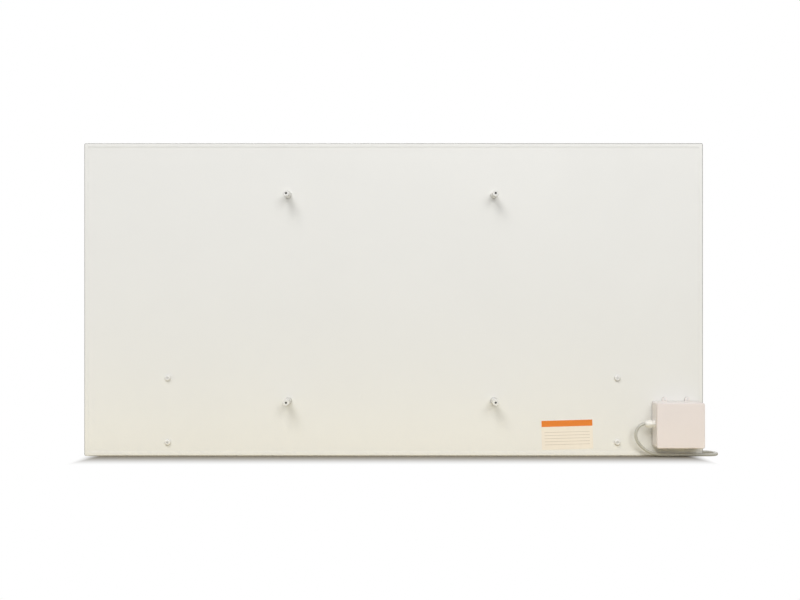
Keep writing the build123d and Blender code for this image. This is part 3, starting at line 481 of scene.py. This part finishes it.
def makeGlandCap():
    # Dome nut: six flats at its rear, then a smooth dome down to the lead
    facts = glandFacts
    centre = (facts["axisY"] * mm, facts["axisZ"] * mm)
    start, end = facts["capStart"] * mm, facts["capEnd"] * mm
    mesh = bmesh.new()
    cornerRadius = facts["acrossFlats"] / 2 / math.cos(math.pi / 6) * mm
    ring = bmesh.ops.create_circle(mesh, cap_ends=True, radius=cornerRadius, segments=6)["verts"]
    bmesh.ops.rotate(mesh, verts=ring, cent=(0, 0, 0), matrix=Matrix.Rotation(math.radians(90), 3, "Y"))
    bmesh.ops.translate(mesh, verts=ring, vec=(start, *centre))
    made = bmesh.ops.extrude_face_region(mesh, geom=list(mesh.faces))["geom"]
    moved = [g for g in made if isinstance(g, bmesh.types.BMVert)]
    bmesh.ops.translate(mesh, verts=moved, vec=(facts["hexLength"] * mm, 0, 0))
    bmesh.ops.bevel(mesh, geom=list(mesh.edges), offset=facts["hexRound"] * mm, segments=3, profile=0.5,
                    affect="EDGES", material=-1)
    profile = [(start + x * mm, radius * mm) for x, radius in facts["domeProfile"]]
    bore = facts["mouthRadius"] * mm
    boreEnd = end - facts["boreDepth"] * mm
    profile = [(profile[0][0], 0.0)] + profile + [(end, bore), (boreEnd, bore), (boreEnd, 0.0)]
    turnedShape(mesh, profile, centre)
    return finishPiece(mesh, "glandDomeNut", "mouldedNylon", smoothAngle=28.0)


glandDomeNut = makeGlandCap()
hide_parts("gland_cap")


plugFacts = {
    "axisY": -65.0,
    "axisZ": 18.0,
    "bootStart": -420.0,
    "bodyStart": -390.0,
    "bodyLength": 36.0,
    "flatHalf": 17.95,
    "bodyProfile": (
        (0.0, 7.0), (0.7, 9.2), (2.2, 11.6), (4.5, 12.8), (8.0, 12.9), (12.5, 12.6), (16.0, 13.6),
        (19.0, 16.4), (21.5, 18.3), (24.5, 19.0), (34.6, 19.0), (35.6, 18.6), (36.0, 17.6),
    ),
    # The boot widens from its tip to the body, and its ribs lie between two shares of its length
    "bootTip": 4.0,
    "bootSmall": 4.3,
    "bootLarge": 6.5,
    "bootChamfer": 0.4,
    "bootOverlap": 0.3,
    "ribs": 5,
    "ribDepth": 0.54,
    "ribSpan": (0.06, 0.9),
    "ribSteps": 8,
}


def makePlugBody():
    # Round moulded body, waisted behind its wide face
    facts = plugFacts
    centre = (facts["axisY"] * mm, facts["axisZ"] * mm)
    start = facts["bodyStart"] * mm
    mesh = bmesh.new()
    profile = [(start + x * mm, radius * mm) for x, radius in facts["bodyProfile"]]
    profile = [(start, 0.0)] + profile + [(start + facts["bodyLength"] * mm, 0.0)]
    turnedShape(mesh, profile, centre, steps=64)
    # Two flats, above and below, at the earth contacts
    for side in (-1, 1):
        cut = centre[1] + side * facts["flatHalf"] * mm
        bmesh.ops.bisect_plane(mesh, geom=list(mesh.verts) + list(mesh.edges) + list(mesh.faces),
                               plane_co=(0, 0, cut), plane_no=(0, 0, side), clear_outer=True)
        cutEdges = [e for e in mesh.edges if len(e.link_faces) == 1]
        bmesh.ops.contextual_create(mesh, geom=cutEdges)
    return finishPiece(mesh, "plugBody", "mouldedPvcPlug", smoothAngle=32.0)


plugBody = makePlugBody()
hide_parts("plug_body")


def makePlugBoot():
    # Tapered strain relief with soft ribs
    facts = plugFacts
    centre = (facts["axisY"] * mm, facts["axisZ"] * mm)
    start, end = facts["bootStart"], facts["bodyStart"] + facts["bootOverlap"]
    ribFrom, ribTo = facts["ribSpan"]
    mesh = bmesh.new()
    steps = facts["ribs"] * facts["ribSteps"]
    profile = [(start * mm, 0.0), (start * mm, facts["bootTip"] * mm)]
    first = start + facts["bootChamfer"]
    for k in range(steps + 1):
        part = k / steps
        radius = facts["bootSmall"] + (facts["bootLarge"] - facts["bootSmall"]) * part
        if ribFrom < part < ribTo:
            radius -= facts["ribDepth"] * (0.5 - 0.5 * math.cos(2 * math.pi * facts["ribs"] * part))
        profile.append(((first + (end - first) * part) * mm, radius * mm))
    profile.append((end * mm, 0.0))
    turnedShape(mesh, profile, centre, steps=40)
    return finishPiece(mesh, "plugBoot", "mouldedPvcPlug", smoothAngle=50.0)


plugBoot = makePlugBoot()
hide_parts("plug_boot")

print("lead, tie, gland nut and plug made")


# In metres: the painted shade at the panel's foot goes over to plain white this far from it, and at its ends
floorLook = {
    "half": 4.0,
    "shadeColour": "#878176",
    "footBounceShade": "#d6cdb0",
    "nearBounce": "#fff3c8",
    "farBounce": "#b9babb",
    "bounceReach": 0.5,
    "footMiddle": -0.021,
    "footHalf": 0.011,
    "shadeReach": 0.115,
    "endStart": 0.565,
    "endStop": 0.605,
}


def makeFloor():
    # Pale floor: real shadow plus painted shade near the panel's foot, plain white further off
    mesh = bmesh.new()
    bmesh.ops.create_grid(mesh, x_segments=1, y_segments=1, size=floorLook["half"])
    data = bpy.data.meshes.new("floor")
    mesh.to_mesh(data)
    mesh.free()
    floor = bpy.data.objects.new("floor", data)
    bpy.context.scene.collection.objects.link(floor)
    material, tree = newMaterial("paleFloor")
    place = addNode(tree, "ShaderNodeTexCoord")
    rays = addNode(tree, "ShaderNodeLightPath")
    parts = addNode(tree, "ShaderNodeSeparateXYZ", None, {"Vector": place.outputs["Object"]})
    # White beyond the shade's reach along Y, and past the panel's ends along X
    fromFoot = addNode(tree, "ShaderNodeMath", {"operation": "SUBTRACT", 1: floorLook["footMiddle"]},
                       {0: parts.outputs["Y"]})
    away = addNode(tree, "ShaderNodeMath", {"operation": "ABSOLUTE"}, {0: fromFoot.outputs[0]})
    whiteY = addNode(tree, "ShaderNodeMapRange",
                     {"interpolation_type": "SMOOTHSTEP", "From Min": floorLook["footHalf"],
                      "From Max": floorLook["footHalf"] + floorLook["shadeReach"]},
                     {"Value": away.outputs[0]})
    sideX = addNode(tree, "ShaderNodeMath", {"operation": "ABSOLUTE"}, {0: parts.outputs["X"]})
    whiteX = addNode(tree, "ShaderNodeMapRange",
                     {"interpolation_type": "SMOOTHSTEP", "From Min": floorLook["endStart"],
                      "From Max": floorLook["endStop"]}, {"Value": sideX.outputs[0]})
    white = addNode(tree, "ShaderNodeMath", {"operation": "MAXIMUM"},
                    {0: whiteY.outputs["Result"], 1: whiteX.outputs["Result"]})
    seen = addNode(tree, "ShaderNodeMath", {"operation": "MULTIPLY"},
                   {0: white.outputs[0], 1: rays.outputs["Is Camera Ray"]})
    # The light that it throws back is warm near the panel and neutral further off
    farOff = addNode(tree, "ShaderNodeMapRange", {"From Max": floorLook["bounceReach"]},
                     {"Value": away.outputs[0]})
    bounce = addNode(tree, "ShaderNodeMix",
                     {"data_type": "RGBA", 6: toLinear(floorLook["nearBounce"]),
                      7: toLinear(floorLook["farBounce"])},
                     {0: farOff.outputs["Result"]})
    # Painted shade: right at the foot it throws back a darker colour, for the little light that gets in
    lit = addNode(tree, "ShaderNodeMix", {"data_type": "RGBA", 6: toLinear(floorLook["footBounceShade"])},
                  {0: whiteY.outputs["Result"], 7: bounce.outputs[2]})
    # Painted shade: near the foot the camera sees the floor in this darker colour
    tone = addNode(tree, "ShaderNodeMix", {"data_type": "RGBA", 7: toLinear(floorLook["shadeColour"])},
                   {0: rays.outputs["Is Camera Ray"], 6: lit.outputs[2]})
    matt = addNode(tree, "ShaderNodeBsdfDiffuse", None, {"Color": tone.outputs[2]})
    plain = addNode(tree, "ShaderNodeEmission", {"Color": (1, 1, 1, 1), "Strength": 1.0})
    blend = addNode(tree, "ShaderNodeMixShader", None,
                    {0: seen.outputs[0], 1: matt.outputs[0], 2: plain.outputs[0]})
    addNode(tree, "ShaderNodeOutputMaterial", None, {"Surface": blend.outputs[0]})
    data.materials.append(material)


makeFloor()


lighting = {
    "worldDiffuse": 0.32,
    "target": (0.0, 0.0, 0.28),
    "keyPlace": (1.3, 3.6, 3.9),
    "fillPlace": (-1.4, 4.4, 2.4),
    "keyPower": 125.0,
    "fillPower": 84.0,
    "lampSize": 2.4,
    # One lamp lights the radiating side, which the photograph doesn't show
    "frontPlace": (0.9, -3.4, 2.4),
    "frontPower": 96.0,
}


def makeWorld():
    # White to the camera and in reflections, dimmer as a light
    world = bpy.data.worlds.new("studio")
    bpy.context.scene.world = world
    world.use_nodes = True
    tree = world.node_tree
    tree.nodes.clear()
    rays = addNode(tree, "ShaderNodeLightPath")
    seen = addNode(tree, "ShaderNodeMath", {"operation": "MAXIMUM"},
                   {0: rays.outputs["Is Camera Ray"], 1: rays.outputs["Is Glossy Ray"]})
    seenAll = addNode(tree, "ShaderNodeMath", {"operation": "MAXIMUM"},
                      {0: seen.outputs[0], 1: rays.outputs["Is Transmission Ray"]})
    level = addNode(tree, "ShaderNodeMapRange", {"To Min": lighting["worldDiffuse"], "To Max": 1.0},
                    {"Value": seenAll.outputs[0]})
    light = addNode(tree, "ShaderNodeBackground", {"Color": (1, 1, 1, 1)},
                    {"Strength": level.outputs["Result"]})
    addNode(tree, "ShaderNodeOutputWorld", None, {"Surface": light.outputs[0]})


def makeLamp(name, place, power):
    # A large square lamp, turned towards the panel's middle
    data = bpy.data.lights.new(name, "AREA")
    data.shape = "SQUARE"
    data.size = lighting["lampSize"]
    data.energy = power
    lamp = bpy.data.objects.new(name, data)
    lamp.location = place
    aim = Vector(lighting["target"]) - Vector(place)
    lamp.rotation_euler = aim.to_track_quat("-Z", "Y").to_euler()
    bpy.context.scene.collection.objects.link(lamp)


makeWorld()
for lampName in ("key", "fill", "front"):
    makeLamp(lampName + "Lamp", lighting[lampName + "Place"], lighting[lampName + "Power"])

view = {
    "cameraPlace": (-0.0124, 2.010, 0.3035),
    "lens": 46.7,  # millimetres, on a sensor 36 wide
    "sensor": 36.0,
    "clipStart": 0.05,
}

cameraData = bpy.data.cameras.new("camera")
cameraData.lens = view["lens"]
cameraData.sensor_width = view["sensor"]
cameraData.clip_start = view["clipStart"]
camera = bpy.data.objects.new("camera", cameraData)
camera.location = view["cameraPlace"]
camera.rotation_euler = (math.radians(90), 0, math.radians(180))
bpy.context.scene.collection.objects.link(camera)
bpy.context.scene.camera = camera
bpy.context.scene.view_settings.view_transform = "Standard"
print("stage, lamps and camera made")
